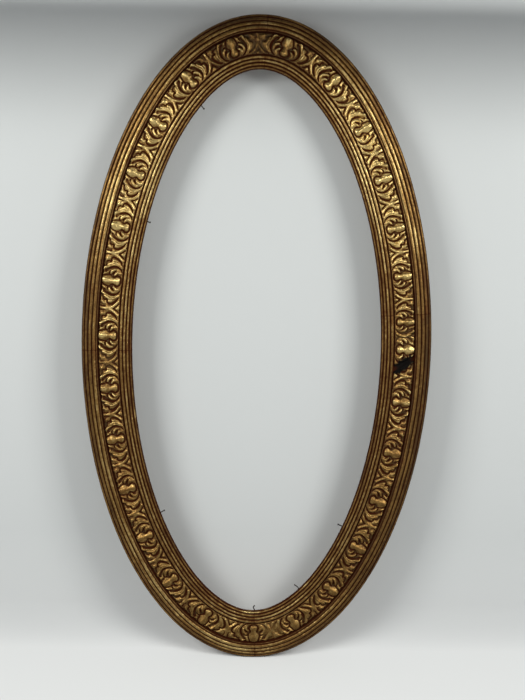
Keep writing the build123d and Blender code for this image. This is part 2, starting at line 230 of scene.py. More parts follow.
SUNK = (
    ((0, 18.9, 0.8, 0.42), (2.2, 18.6, 0.8, 0.46), (3.9, 17.6, 0.8, 0.52), (4.9, 15.9, 0.8, 0.56),
     (4.8, 14.3, 0.8, 0.56), (3.9, 12.6, 0.8, 0.5), (3.6, 11.3, 0.9, 0.5), (4.5, 10.0, 1.0, 0.6),
     (5.4, 8.6, 0.9, 0.56), (5.7, 7.2, 0.8, 0.5), (5.4, 5.2, 0.7, 0.34), (4.4, 2.2, 0.7, 0.26),
     (3.4, 0.2, 0.7, 0.34)),
    ((4.6, 10.1, 1.1, 0.6), (6.4, 10.4, 1.0, 0.6), (8.0, 11.4, 0.8, 0.46), (9.2, 12.6, 0.6, 0.24),
     (10.0, 14.0, 0.4, 0.06)),
    ((5.6, 7.0, 0.8, 0.5), (7.0, 6.5, 0.8, 0.46), (8.8, 6.7, 0.7, 0.3), (10.2, 7.6, 0.5, 0.12)),
    ((7.4, 0.0, 1.0, 0.4), (8.6, 0.5, 0.8, 0.3)),
    ((8.8, 3.1, 1.1, 0.6), (10.2, 4.9, 1.0, 0.6), (12.0, 7.0, 0.9, 0.58), (13.2, 9.4, 0.9, 0.58),
     (13.7, 12.0, 0.9, 0.58), (13.5, 14.2, 0.85, 0.54), (12.5, 16.2, 0.8, 0.5), (10.9, 17.8, 0.7, 0.4),
     (9.0, 18.9, 0.5, 0.24)),
    ((14.0, 0.2, 1.2, 0.4), (16.5, 0.0, 1.0, 0.36), (19.0, 0.2, 0.8, 0.26)),
    ((14.8, 2.3, 0.8, 0.5), (16.2, 2.2, 0.9, 0.56), (17.8, 3.0, 0.8, 0.52), (18.9, 4.6, 0.65, 0.42),
     (18.8, 6.2, 0.7, 0.46), (19.2, 7.0, 1.0, 0.56), (20.6, 7.0, 0.7, 0.4), (22.0, 7.8, 0.7, 0.44),
     (22.6, 9.6, 0.9, 0.56), (22.2, 11.8, 0.9, 0.56), (21.2, 13.6, 0.9, 0.56), (19.9, 15.4, 0.85, 0.54),
     (18.2, 16.9, 0.7, 0.48), (16.3, 17.8, 0.5, 0.3)),
    ((24.6, 1.4, 0.7, 0.22), (25.0, 3.6, 0.6, 0.24), (24.6, 6.0, 0.5, 0.12)),
    ((26.7, 14.0, 0.6, 0.4), (25.5, 15.8, 0.6, 0.4), (24.0, 17.6, 0.55, 0.36), (22.4, 19.2, 0.5, 0.3)),
    ((24.6, 9.0, 0.35, 0.12), (23.9, 12.0, 0.35, 0.12), (21.6, 15.2, 0.35, 0.1)),
    ((6.4, 3.6, 0.35, 0.14), (7.2, 5.2, 0.35, 0.14)),
    ((9.6, 7.8, 0.35, 0.14), (11.8, 9.8, 0.35, 0.14), (12.2, 12.6, 0.35, 0.12), (11.0, 15.6, 0.35, 0.08)),
    ((6.6, 11.9, 0.3, 0.12), (8.6, 13.6, 0.35, 0.12), (9.6, 15.2, 0.35, 0.1), (8.2, 17.6, 0.35, 0.06)),
    ((6.0, 13.8, 0.35, 0.12), (6.8, 15.6, 0.35, 0.12), (6.0, 17.6, 0.35, 0.08)),
    ((13.6, 3.4, 0.35, 0.12), (15.0, 7.4, 0.35, 0.14), (16.6, 10.6, 0.35, 0.14), (16.0, 14.2, 0.35, 0.12),
     (13.6, 17.6, 0.35, 0.08)),
    ((17.2, 7.6, 0.35, 0.14), (18.8, 10.4, 0.35, 0.14), (18.2, 13.4, 0.35, 0.12), (15.8, 16.6, 0.35, 0.08)),
    ((2.6, 0.6, 0.5, 0.1), (2.3, 4.0, 0.5, 0.06)),
)
# A crowned ground before carving (its edge and its rise), and the gain of the raised and sunk strokes
CROWN = (0.30, 0.12)
RAISED_GAIN = 1.45
SUNK_GAIN = 1.3

# The stage in metres: the sheet of floor and wall, its gaps below and behind the frame, and the lamps
SHEET_FRONT = -3.0
SHEET_HALF_WIDTH = 4.0
WALL_HEIGHT = 3.5
GAP_BELOW = 0.0002
GAP_BEHIND = 0.002
FLOOR_ROWS = 12
LAMPS = {"lamp_left": (-0.6, -0.7, 0.41), "lamp_right": (0.6, -0.7, 0.41)}
LAMP_AIM = (0, 0, 0.05)
LAMP_SIZE = 0.42
# The shade's edge and root, as a place along Y and a height over the frame's top
SHADE_EDGE = (-0.17, -0.005)
SHADE_ROOT = (-0.03, 0.028)
SHADE_HALF_WIDTH = 0.40
ROOM_COLOUR = (0.86, 0.87, 0.88, 1)

# The photograph's viewpoint: spot in millimetres, and turn as an axis times an angle from a level look
CAMERA_SPOT = (-4.144, -867.604, 129.247)
CAMERA_TURN = (-0.146298, -0.015687, -0.010491)
FOCAL_PIXELS = 850
LONG_SIDE_PIXELS = 700


def linear(code):
    """Turn an sRGB hex colour into linear red, green, blue and alpha."""
    parts = np.array([int(code[i:i + 2], 16) for i in (1, 3, 5)]) / 255
    parts = np.where(parts <= 0.04045, parts / 12.92, ((parts + 0.055) / 1.055) ** 2.4)
    return (*parts.tolist(), 1.0)


def length_property(name, description, default):
    """A length in metres."""
    return FloatProperty(
        name=name, description=description, default=default, subtype="DISTANCE", unit="LENGTH"
    )


def colour_property(name, description, code):
    """A colour whose default is an sRGB hex."""
    return FloatVectorProperty(
        name=name, description=description, default=linear(code), size=4, subtype="COLOR"
    )


class OvalFrameSizes(bpy.types.PropertyGroup):
    """Sizes of the frame and colours of its finishes."""

    width: length_property("Width", "Overall width of the oval", 0.356)
    height: length_property("Height", "Overall height of the oval", 0.660)
    rail: length_property("Rail width", "Width of the moulding", 0.051)
    leaf: colour_property("Gold leaf", "Leaf on the high parts", "#d8bc7c")
    leaf_deep: colour_property("Toned leaf", "Leaf under old toning", "#8a6a3b")
    umber: colour_property("Umber", "Dirt and toning in the hollows", "#361403")
    bole: colour_property("Bole", "Red clay where the leaf is rubbed through", "#6e4426")
    pine: colour_property("Bare wood", "Old softwood of the back", "#9c7448")
    floor: colour_property("Floor", "Pale floor under the frame", "#d7d9da")
    wall: colour_property("Wall", "Backdrop behind the frame", "#cdd0d1")
    lamp_power: FloatProperty(
        name="Lamp power", description="Power of each soft lamp", default=6.3, unit="POWER", min=0.0
    )
    floor_tilt: FloatProperty(
        name="Lean", description="How far the floor tilts under the leaning frame", default=0.035,
        subtype="ANGLE", unit="ROTATION",
    )


class Oval:
    """The frame's outer oval in millimetres: x = half width cos(angle), z = half height sin(angle)."""

    def __init__(self, sizes):
        self.half_width = sizes.width / MM / 2
        self.half_height = sizes.height / MM / 2
        self.rail = sizes.rail / MM
        self.back_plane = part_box("back_rail_top")[1][1] / MM
        self.angles = np.arange(-40, 420, 0.05)
        middle = self.point(self.angles, (BAND_OUTER + BAND_INNER) / 2, 0)
        steps = np.linalg.norm(np.diff(middle, axis=0), axis=1)
        self.lengths = np.concatenate([[0], np.cumsum(steps)])

    def point(self, angle, inset, height):
        """Edge of the oval at the angle, moved along its inward normal by the inset, and forward."""
        angle, inset, height = np.broadcast_arrays(angle, inset, height)
        turn = np.radians(angle)
        across, up = -self.half_height * np.cos(turn), -self.half_width * np.sin(turn)
        size = np.hypot(across, up)
        x = self.half_width * np.cos(turn) + inset * across / size
        z = self.half_height * np.sin(turn) + inset * up / size
        return np.stack([x, self.back_plane - height, z], axis=-1)

    def length_at(self, angle):
        """Length run along the middle of the band, by linear interpolation in a fine table."""
        return np.interp(angle, self.angles, self.lengths)

    def angle_at(self, length):
        """Inverse of length_at."""
        return np.interp(length, self.lengths, self.angles)


def unevenness(along, across, pitch, seed):
    """Smooth values from -1 to 1: random numbers on a square lattice, joined with 3t^2 - 2t^3 both ways."""
    lattice = np.random.default_rng(seed).uniform(-1, 1, (97, 89))
    u, v = np.broadcast_arrays(np.asarray(along) / pitch, np.asarray(across) / pitch)
    i, j = np.floor(u).astype(int), np.floor(v).astype(int)
    s, t = u - i, v - j
    s, t = s * s * (3 - 2 * s), t * t * (3 - 2 * t)
    rows, columns = lattice.shape
    near = lattice[i % rows, j % columns] * (1 - t) + lattice[i % rows, (j + 1) % columns] * t
    far = lattice[(i + 1) % rows, j % columns] * (1 - t) + lattice[(i + 1) % rows, (j + 1) % columns] * t
    return near * (1 - s) + far * s


def step_up(value, low, high):
    """0 below low, 1 above high, and 3t^2 - 2t^3 between."""
    t = np.clip((value - low) / (high - low), 0, 1)
    return t * t * (3 - 2 * t)


def smooth_stroke(chain, steps=4):
    """Finer chain: each stretch is the cubic with half the span of its neighbours as slope."""
    points = np.array(chain, float)
    points = np.concatenate([2 * points[:1] - points[1:2], points, 2 * points[-1:] - points[-2:-1]])
    t = (np.arange(steps) / steps)[None, :, None]
    a, b, c, d = (q[:, None, :] for q in (points[:-3], points[1:-2], points[2:-1], points[3:]))
    curve = b + t * (c - a) / 2 + t**2 * (2 * a - 5 * b + 4 * c - d) / 2 + t**3 * (3 * b - a - 3 * c + d) / 2
    return np.concatenate([curve.reshape(-1, 4), points[-2:-1]])


def strokes(u, v, chains):
    """Highest of the strokes, each its height times exp(-(distance to its line / half width)^2)."""
    best = np.zeros(u.shape)
    for chain in chains:
        line = smooth_stroke(chain)
        for (x0, y0, wide0, tall0), (x1, y1, wide1, tall1) in zip(line[:-1], line[1:]):
            dx, dy = x1 - x0, y1 - y0
            share = np.clip(((u - x0) * dx + (v - y0) * dy) / (dx * dx + dy * dy + 1e-9), 0, 1)
            away = np.hypot(u - x0 - share * dx, v - y0 - share * dy)
            wide, tall = wide0 + share * (wide1 - wide0), tall0 + share * (tall1 - tall0)
            best = np.maximum(best, tall * np.exp(-((away / wide) ** 2)))
    return best


def soften(field, passes):
    """Repeated average of each value with its four neighbours, wrapped along the band."""
    for _ in range(passes):
        wide = np.pad(field, ((0, 0), (1, 1)), mode="edge")
        field = (np.roll(field, 1, 0) + np.roll(field, -1, 0) + wide[:, :-2] + wide[:, 2:] + 2 * field) / 6
    return field


def carved_repeat():
    """Heights of one repeat, from 0 to 1: a crowned band, plus its raised strokes, less its sunk ones."""
    along_count, across_count = FIELD_SIZE
    across = np.linspace(0, BAND_WIDTH, across_count)
    along = np.linspace(-REPEAT_LENGTH / 2, REPEAT_LENGTH / 2, along_count + 1)[:-1]
    u, v = np.meshgrid(along, across, indexing="ij")
    side = np.abs(u)
    heights = CROWN[0] + CROWN[1] * np.sin(np.pi * v / BAND_WIDTH)
    heights = heights + RAISED_GAIN * strokes(side, v, RAISED) - SUNK_GAIN * strokes(side, v, SUNK)
    return soften(np.clip(heights, 0, 1), 2)


def sampled(field, phase, share):
    """Bilinear value of the repeat's heights at a phase, whole at the bells, and a share across."""
    rows, columns = field.shape
    u = (phase + 0.5) % 1 * rows
    v = np.clip(share, 0, 1) * (columns - 1)
    i, j = np.floor(u).astype(int), np.minimum(np.floor(v).astype(int), columns - 2)
    s, t = u - i, v - j
    i, k = i % rows, (i + 1) % rows
    near = field[i, j] * (1 - t) + field[i, j + 1] * t
    far = field[k, j] * (1 - t) + field[k, j + 1] * t
    return near * (1 - s) + far * s


def new_object(name, mesh, material, nodes):
    """Link a finished piece, give it its material, hang it on the root body and hide the CAD parts it stands
    for.
    """
    made = bpy.data.objects.new(name, mesh)
    bpy.context.scene.collection.objects.link(made)
    mesh.materials.append(material)
    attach(made, "root")
    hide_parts(*nodes)


def shell_mesh(name, points, values, sharp=0.7):
    """A closed skin: rings of points in millimetres joined by quads, with a flat face at each end.

    The faces' order is turned round where the enclosed volume comes out negative, so they look
    outwards."""
    sections, around, _ = points.shape
    place = points.reshape(-1, 3) * MM
    index = np.arange(sections * around).reshape(sections, around)
    a, b = index[:-1], index[1:]
    quads = np.stack([a, b, np.roll(b, -1, 1), np.roll(a, -1, 1)], -1).reshape(-1, 4)
    caps = [index[0], index[-1][::-1]]
    p0, p1, p2, p3 = (place[quads[:, k]] for k in range(4))
    volume = np.einsum("ij,ij->", p0, np.cross(p1, p2)) + np.einsum("ij,ij->", p0, np.cross(p2, p3))
    if volume < 0:
        quads = quads[:, ::-1]
        caps = [cap[::-1] for cap in caps]
    corners = np.concatenate([quads.ravel(), *caps])
    starts = np.concatenate([np.arange(len(quads)) * 4, len(quads) * 4 + np.arange(2) * around])
    mesh = bpy.data.meshes.new(name)
    mesh.vertices.add(len(place))
    mesh.vertices.foreach_set("co", place.ravel())
    mesh.loops.add(len(corners))
    mesh.loops.foreach_set("vertex_index", corners)
    mesh.polygons.add(len(starts))
    mesh.polygons.foreach_set("loop_start", starts)
    mesh.polygons.foreach_set("use_smooth", np.ones(len(starts), bool))
    mesh.update(calc_edges=True)
    mesh.validate()
    mesh.set_sharp_from_angle(angle=sharp)
    for key, value in values.items():
        layer = mesh.attributes.new(key, "FLOAT", "POINT")
        layer.data.foreach_set("value", np.broadcast_to(value, (sections, around)).astype(np.float32).ravel())
    return mesh


def put(tree, kind, sockets=(), **settings):
    """Add a node. Settings are its own properties; sockets are its inputs by name or number, and one
    that is given an output is linked to it."""
    node = tree.nodes.new(kind)
    for key, value in settings.items():
        if key == "stops":
            ramp = node.color_ramp
            while len(ramp.elements) < len(value):
                ramp.elements.new(1.0)
            for element, (position, colour) in zip(ramp.elements, value):
                element.position, element.color = position, colour
        else:
            setattr(node, key, value)
    for key, value in dict(sockets).items():
        if isinstance(value, bpy.types.NodeSocket):
            tree.links.new(value, node.inputs[key])
        else:
            node.inputs[key].default_value = value
    return node


def scaled_sum(tree, value, weight, base):
    """The value times the weight, plus the base."""
    return put(tree, "ShaderNodeMath", {0: value, 1: weight, 2: base}, operation="MULTIPLY_ADD").outputs[0]


def blend(tree, share, under, over):
    """The lower colour, covered with the upper one by a share from 0 to 1."""
    return put(tree, "ShaderNodeMix", {0: share, 6: under, 7: over}, data_type="RGBA").outputs[2]


def remap(tree, value, low, high, first=0.0, last=1.0):
    """The value's range from low to high turned into first to last, and held beyond both ends."""
    limits = {"From Min": low, "From Max": high, "To Min": first, "To Max": last}
    return put(tree, "ShaderNodeMapRange", {"Value": value, **limits}).outputs["Result"]


def new_material(name):
    """An empty node material and its tree."""
    material = bpy.data.materials.new(name)
    material.use_nodes = True
    material.node_tree.nodes.clear()
    return material, material.node_tree


def gilding(sizes, name, crackle_scale, bump, smoothest):
    """Aged water gilding: gold leaf over red bole on gesso, toned with umber.

    The leaf is thin beaten metal: it shines softly on crests, and is brown where old toning
    lies on it and dull and dark in the hollows. The toning also carries painted light and shade.
    Attributes tone, recess, rub and soot come with the mesh."""
    material, tree = new_material(name)
    place = put(tree, "ShaderNodeTexCoord").outputs["Object"]
    tone, recess, rub, soot = (
        put(tree, "ShaderNodeAttribute", attribute_name=key).outputs["Fac"]
        for key in ("tone", "recess", "rub", "soot")
    )
    # Mottling about 3 mm across, specks of 0.8 mm
    mottle = put(
        tree, "ShaderNodeTexNoise", {"Vector": place, "Scale": 330.0, "Detail": 4.0, "Roughness": 0.6}
    ).outputs["Fac"]
    speck = put(tree, "ShaderNodeTexNoise", {"Vector": place, "Scale": 1250.0, "Detail": 2.0}).outputs["Fac"]
    uneven = put(tree, "ShaderNodeMath", {0: mottle, 1: -0.5}, operation="ADD").outputs[0]
    # The toning, which also carries painted light and shade, decides between clean and brown leaf, and the
    # mottling breaks its edges up
    shade = scaled_sum(tree, uneven, 0.5, tone)
    # The darkest, greyish stop is partly dust and partly a painted reflection of the grey surroundings on the
    # outer side
    leaf = put(
        tree, "ShaderNodeValToRGB", {"Fac": shade},
        stops=(
            (0.08, tuple(sizes.leaf)), (0.42, tuple(sizes.leaf_deep)), (0.72, linear("#574026")),
            (1.0, linear("#483c2a")),
        ),
    ).outputs["Color"]
    # Bole where the leaf is rubbed through, umber in the hollows, soot at the break
    worn = remap(tree, scaled_sum(tree, uneven, 1.2, rub), 0.25, 0.7, 0.0, 0.5)
    colour = blend(tree, worn, leaf, tuple(sizes.bole))
    dirt = remap(tree, scaled_sum(tree, uneven, 0.6, recess), 0.08, 0.7)
    colour = blend(tree, dirt, colour, tuple(sizes.umber))
    colour = blend(tree, soot, colour, linear("#0b0907"))
    # Dirt and soot are no metal and are rougher than leaf; brown leaf is a little rougher than clean
    dull = put(tree, "ShaderNodeMath", {0: dirt, 1: soot}, operation="MAXIMUM").outputs[0]
    metallic = remap(tree, dull, 0.0, 1.0, 0.9, 0.05)
    rough = scaled_sum(tree, dull, 0.4, scaled_sum(tree, shade, 0.26, smoothest))
    # A fine relief of crackle, mottling and specks
    crackle = put(
        tree, "ShaderNodeTexVoronoi", {"Vector": place, "Scale": crackle_scale}, feature="DISTANCE_TO_EDGE"
    ).outputs["Distance"]
    crack = remap(tree, crackle, 0.0, 0.06)
    grit = scaled_sum(tree, crack, 0.3, scaled_sum(tree, mottle, 0.7, speck))
    relief = put(
        tree, "ShaderNodeBump", {"Height": grit, "Strength": bump, "Distance": 0.0006}
    ).outputs["Normal"]
    shader = put(
        tree, "ShaderNodeBsdfPrincipled",
        {
            "Base Color": colour, "Metallic": metallic, "Roughness": rough, "Normal": relief,
            "Specular IOR Level": 0.08,
        },
    )
    put(tree, "ShaderNodeOutputMaterial", {"Surface": shader.outputs["BSDF"]})
    return material


def bare_wood(sizes, name, lengthways):
    """Bare old softwood, sawn and never finished: straight brown grain, raised by age, with dust in it.

    The grain is noise stretched along the board, lines about 1.5 mm apart."""
    material, tree = new_material(name)
    place = put(tree, "ShaderNodeTexCoord").outputs["Object"]
    stretch = (14.0, 520.0, 520.0) if lengthways == "X" else (520.0, 520.0, 14.0)
    grain_place = put(tree, "ShaderNodeMapping", {"Vector": place, "Scale": stretch}).outputs["Vector"]
    grain = put(
        tree, "ShaderNodeTexNoise", {"Vector": grain_place, "Scale": 1.0, "Detail": 5.0, "Distortion": 0.6}
    ).outputs["Fac"]
    cloud = put(tree, "ShaderNodeTexNoise", {"Vector": place, "Scale": 24.0, "Detail": 4.0}).outputs["Fac"]
    shade = put(
        tree, "ShaderNodeValToRGB", {"Fac": grain},
        stops=((0.28, linear("#55391f")), (0.5, tuple(sizes.pine)), (0.72, linear("#b08a5a"))),
    ).outputs["Color"]
    # Darker stains in clouds about 40 mm across
    stain = remap(tree, cloud, 0.4, 0.72, 0.0, 0.6)
    colour = blend(tree, stain, shade, linear("#4a3220"))
    relief = put(
        tree, "ShaderNodeBump", {"Height": grain, "Strength": 0.5, "Distance": 0.0006}
    ).outputs["Normal"]
    shader = put(
        tree, "ShaderNodeBsdfPrincipled", {"Base Color": colour, "Roughness": 0.82, "Normal": relief}
    )
    put(tree, "ShaderNodeOutputMaterial", {"Surface": shader.outputs["BSDF"]})
    return material


def old_metal(name, bright, dark, metallic, roughness, scale):
    """Old drawn wire: bare metal with a dull skin of tarnish or rust in patches."""
    material, tree = new_material(name)
    place = put(tree, "ShaderNodeTexCoord").outputs["Object"]
    patch = put(
        tree, "ShaderNodeTexNoise", {"Vector": place, "Scale": scale, "Detail": 5.0, "Roughness": 0.65}
    ).outputs["Fac"]
    colour = put(
        tree, "ShaderNodeValToRGB", {"Fac": patch}, stops=((0.4, linear(bright)), (0.62, linear(dark)))
    ).outputs["Color"]
    rough = remap(tree, patch, 0.0, 1.0, roughness, roughness + 0.4)
    relief = put(
        tree, "ShaderNodeBump", {"Height": patch, "Strength": 0.4, "Distance": 0.0003}
    ).outputs["Normal"]
    shader = put(
        tree, "ShaderNodeBsdfPrincipled",
        {"Base Color": colour, "Metallic": metallic, "Roughness": rough, "Normal": relief},
    )
    put(tree, "ShaderNodeOutputMaterial", {"Surface": shader.outputs["BSDF"]})
    return material


def reed_line(width, foot, rise, dirt_reach):
    """One shoulder's reeds from its low edge: arcs between grooves that lie on a quarter ellipse.

    Each groove is cut deeper by depth times exp(-(d / half width)^2). Returns distance from the
    edge, height, and recess, which is 1 in a groove and 0 on a crest."""
    turn = np.array(REED_GROOVES) * np.pi / 2
    x, y = width * (1 - np.cos(turn)), LAYER_BACK + foot + rise * np.sin(turn)
    t = (1 - np.cos(np.linspace(0, np.pi, ARC_POINTS)))[None, :] / 2
    bow = 4 * REED_BULGE * t * (1 - t)
    dx, dy = np.diff(x)[:, None], np.diff(y)[:, None]
    from_groove = np.minimum(t, 1 - t) * np.hypot(dx, dy)
    groove = np.exp(-((from_groove / GROOVE_HALF) ** 2))
    across = x[:-1, None] + t * dx - bow * dy
    up = y[:-1, None] + t * dy + bow * dx - GROOVE_DEPTH * groove
    return np.stack([a.ravel() for a in (across, up, np.exp(-((from_groove / dirt_reach) ** 2)))])


def moulding_section(rail):
    """The face rail's outline from the outer side over the front to the sight lip and along the back."""
    outer = reed_line(*OUTER_REEDS)
    inner = reed_line(*INNER_REEDS)
    inner = np.stack([rail - inner[0], inner[1], inner[2]])[:, ::-1]
    bead_base = outer[1, -1] + GROOVE_DEPTH - BEAD_DROP
    t = np.linspace(0, np.pi, 9)
    bead = np.stack([
        outer[0, -1] + BEAD_RADIUS * (1 - np.cos(t)), bead_base + BEAD_RADIUS * np.sin(t),
        1 - 0.9 * np.sin(t),
    ])
    floor = np.linspace(CHANNEL_OUTER, CHANNEL_INNER, 6)
    channel = np.stack([floor, np.full(6, CHANNEL_FLOOR), np.full(6, 1.0)])
    # Rows of insets, heights and recess: the outer side, the lip of the sight edge, and the flat back
    side = np.array([
        [0, 0, 0], [LAYER_BACK, LAYER_BACK + 1.9, LAYER_BACK + 3.4], [0.45, 0.05, 0.25],
    ], float)
    lip = np.array([[rail, rail], [LAYER_BACK + INNER_REEDS[1] - 0.4, LAYER_BACK], [0.5, 0.9]], float)
    back = np.array([[rail * 0.66, rail * 0.33], [LAYER_BACK, LAYER_BACK], [0.9, 0.9]], float)
    return np.concatenate([side, outer, bead, channel, inner, lip, back], axis=1)


def spots(oval, places, length, inset):
    """Sum of soft spots: strength times exp(-(along / reach)^2 - (across / width)^2)."""
    total = np.zeros(np.broadcast(length, inset).shape)
    for angle, across, reach, width, strength in places:
        along = (length - oval.length_at(angle)) / reach
        total += strength * np.exp(-(along**2) - ((inset - across) / width) ** 2)
    return total


def face_rail(oval, start, end):
    """The section carried along the oval, worn a little unevenly, with tight butt joints at its ends."""
    inset, height, recess = moulding_section(oval.rail)
    edges = oval.length_at(np.array([start, end]))
    count = int((edges[1] - edges[0]) / RAIL_STEP)
    length = np.linspace(edges[0], edges[1], count)
    first, last = length[:1], length[-1:]
    length = np.concatenate([first, first + 0.2, length[1:-1], last - 0.2, last])[:, None]
    from_joint = np.minimum(length - edges[0], edges[1] - length)
    front = step_up(height, LAYER_BACK + 0.5, LAYER_BACK + 2.5)
    mean, broad, small = RAIL_WEAR
    worn = mean + broad * unevenness(length, inset, 9.0, 3) + small * unevenness(length, inset * 3, 2.5, 4)
    chipped = JOINT_CHIP * np.exp(-((from_joint / 0.25) ** 2))
    sunk = np.maximum(worn, 0) + chipped
    across = inset + LINE_WANDER * front * unevenness(length, inset * 0.3, 30.0, 5)
    across = np.clip(across, 0, oval.rail)
    points = oval.point(oval.angle_at(length), across, height - front * sunk)
    joint_dirt = JOINT_DIRT * np.exp(-((from_joint / 0.35) ** 2))
    dirt = np.clip(recess + joint_dirt + 0.10 * unevenness(length, inset * 2, 6.0, 6), 0, 1)
    # The scorch round the break, on the channel's floor and the edges beside it
    break_middle = oval.length_at(np.mean(BREAK_LOWER + BREAK_UPPER))
    from_break = np.hypot(length - break_middle, inset - 27)
    near_break = 1 - step_up(from_break, *RAIL_SCORCH)
    soot = near_break * step_up(inset, 15.5, 17.5) * step_up(-inset, -38.5, -37)
    long, short = STREAKS
    streaks = long * unevenness(length, inset * 22, 26.0, 16) + short * unevenness(length, inset * 6, 7.0, 17)
    angle = oval.angle_at(length)
    # Painted light and shade by angle on the outer and inner reeds, added to the toning below
    outer_painted_light, inner_painted_light = (
        np.interp(angle, PAINTED_LIGHT_ANGLES, values, period=360) for values in (OUTER_PAINTED_LIGHT, INNER_PAINTED_LIGHT)
    )
    toning = np.where(inset < (CHANNEL_OUTER + CHANNEL_INNER) / 2, outer_painted_light, inner_painted_light)
    tone = np.interp(inset, TONE_INSETS, INSET_TONES_AND_SHADE) + toning + streaks - spots(oval, WORN_SPOTS, length, inset)
    rub = 0.5 * unevenness(length, inset * 4, 19.0, 18) + 0.35 * np.exp(-((from_joint / JOINT_REACH) ** 2))
    values = {"recess": dirt, "rub": np.clip(rub, 0, 1) * front, "soot": soot, "tone": np.clip(tone, 0, 1)}
    return points, values


def bell_phase(oval, first, middle, last, length):
    """Phase along a strip, whole numbers at its bells, whose spacing grows or shrinks evenly."""
    steps = REPEATS - 1
    a, b, c = (oval.length_at(angle) for angle in (first, middle, last))
    share = 2 * np.arange(-2, REPEATS + 2) / steps
    places = a + share * (b - a) + share * (share - 1) * (c + a - 2 * b) / 2
    return np.interp(length, places, np.arange(-2, REPEATS + 2))


def break_edge(oval, angles, share, seed):
    """Length at which the broken composition ends, by the share across: a slanting ragged line."""
    outer, inner = (oval.length_at(angle) for angle in angles)
    across = share * BAND_WIDTH
    ragged = 0.9 * unevenness(across, 0.0, 2.1, seed) + 0.5 * unevenness(across, 0.0, 0.7, seed + 1)
    return outer + share * (inner - outer) + ragged


def strip_surface(oval, field, marks, cut_start, cut_end):
    """A pressed strip: heights of the repeat read by phase, worn and warped, between two ends.

    Each row of points crosses the band. An end that was broken off follows its ragged line."""
    start, first, middle, last, end = marks
    share = np.linspace(0, 1, ROW_POINTS)
    across = share * BAND_WIDTH
    ends = oval.length_at(start), oval.length_at(end)
    low = np.full(ROW_POINTS, ends[0]) if cut_start is None else break_edge(oval, cut_start, share, 21)
    high = np.full(ROW_POINTS, ends[1]) if cut_end is None else break_edge(oval, cut_end, share, 31)
    count = int((high.mean() - low.mean()) / ROW_STEP)
    run = np.linspace(low.mean(), high.mean(), count)[:, None]
    # The rows near an end bend over to its line
    near_low = step_up(-(run - low.mean()), -JOINT_REACH, 0)
    near_high = step_up(-(high.mean() - run), -JOINT_REACH, 0)
    length = run + near_low * (low - low.mean()) + near_high * (high - high.mean())
    phase = bell_phase(oval, first, middle, last, length)
    warp = 0.3 * unevenness(length, across, 7.0, 7)
    heights = sampled(field, phase + warp / REPEAT_LENGTH, share + 0.012 * unevenness(length, across, 9.0, 8))
    # Smeared places, at the joints and elsewhere, take the heights of a softened repeat
    softer = sampled(soften(field, SMEAR_PASSES), phase, share)
    mean, swing, at_joint, most = SMEAR
    smear = mean + swing * unevenness(length, across, 23.0, 9)
    joints = np.exp(-(np.minimum(abs(length - ends[0]), abs(length - ends[1])) / JOINT_REACH) ** 2)
    smear = np.clip(smear + at_joint * joints + spots(oval, SMEARS, length, across), 0, most)
    heights = heights * (1 - smear) + softer * smear
    heights = heights * (0.96 + 0.07 * unevenness(length, across, 12.0, 10))
    heights = heights - 0.05 * (1 + unevenness(length, across, 1.4, 11)) * step_up(heights, 0.1, 0.4)
    # Dirt lies where the surface is low and lower than what is round it. Crests are rubbed clean; the
    # toning's lightening of crests and darkening of low places is partly painted highlight and painted shade.
    standing = heights - softer
    recess = np.clip(1.7 * step_up(-standing, 0.02, 0.22) * step_up(-heights, -0.50, -0.20), 0, 1)
    tone = STRIP_TONE - CREST_WEAR_AND_HIGHLIGHT * standing - HEIGHT_WEAR_AND_SHADE * (heights - 0.5)
    tone = tone + 0.12 * unevenness(length, across, 31.0, 13)
    tone = tone + 0.10 * unevenness(length, across, 5.0, 15)
    angle = oval.angle_at(length)
    # Painted light and shade by angle on the ornament
    tone = tone + np.interp(angle, PAINTED_LIGHT_ANGLES, ORNAMENT_PAINTED_LIGHT, period=360)
    tone = tone - spots(oval, WORN_SPOTS, length, BAND_OUTER + across)
    # On the lower half the high parts are toned darker, the highest most: painted shade that dims their
    # highlights, so no clean leaf is left there
    tone = np.maximum(tone, (0.20 + 0.34 * heights) * step_up(-np.sin(np.radians(angle)), 0.0, 0.4))
    rub = 0.5 * unevenness(length, across * 0.6, 17.0, 19)
    # Broken ends crumble away, and both long edges are rounded
    ragged = np.full_like(length, 99.0)
    if cut_start is not None:
        ragged = np.minimum(ragged, length - low)
    if cut_end is not None:
        ragged = np.minimum(ragged, high - length)
    crumbled = np.exp(-((ragged / (CRUMBLE + 0.8 * unevenness(length, across, 2.6, 20))) ** 2))
    edge = np.minimum(share, 1 - share) * BAND_WIDTH
    rounded = np.exp(-((edge / EDGE_ROUNDING) ** 2))
    heights = np.clip(heights * (1 - 0.75 * crumbled) * (1 - 0.7 * rounded), 0, 1)
    top = CHANNEL_FLOOR + GROUND - 0.35 * crumbled + RELIEF * heights
    recess = np.clip(recess + 0.9 * np.exp(-((edge / EDGE_DIRT) ** 2)), 0, 1)
    rows = oval.point(angle, BAND_OUTER + share * (BAND_INNER - BAND_OUTER), top)
    foot_outer = oval.point(angle[:, :1], BAND_OUTER, CHANNEL_FLOOR)
    foot_inner = oval.point(angle[:, -1:], BAND_INNER, CHANNEL_FLOOR)
    points = np.concatenate([foot_outer, rows, foot_inner], axis=1)
    from_middle = abs(across - 0.55 * BAND_WIDTH) / BAND_WIDTH
    patchy = ragged + 1.3 * unevenness(length, across, 2.3, 12) + 5.0 * from_middle
    soot = 1 - step_up(patchy, *STRIP_SCORCH)
    values = {"recess": recess, "rub": np.clip(rub, 0, 1), "soot": soot, "tone": np.clip(tone, 0, 1)}
    return points, {key: np.pad(value, ((0, 0), (1, 1)), mode="edge") for key, value in values.items()}


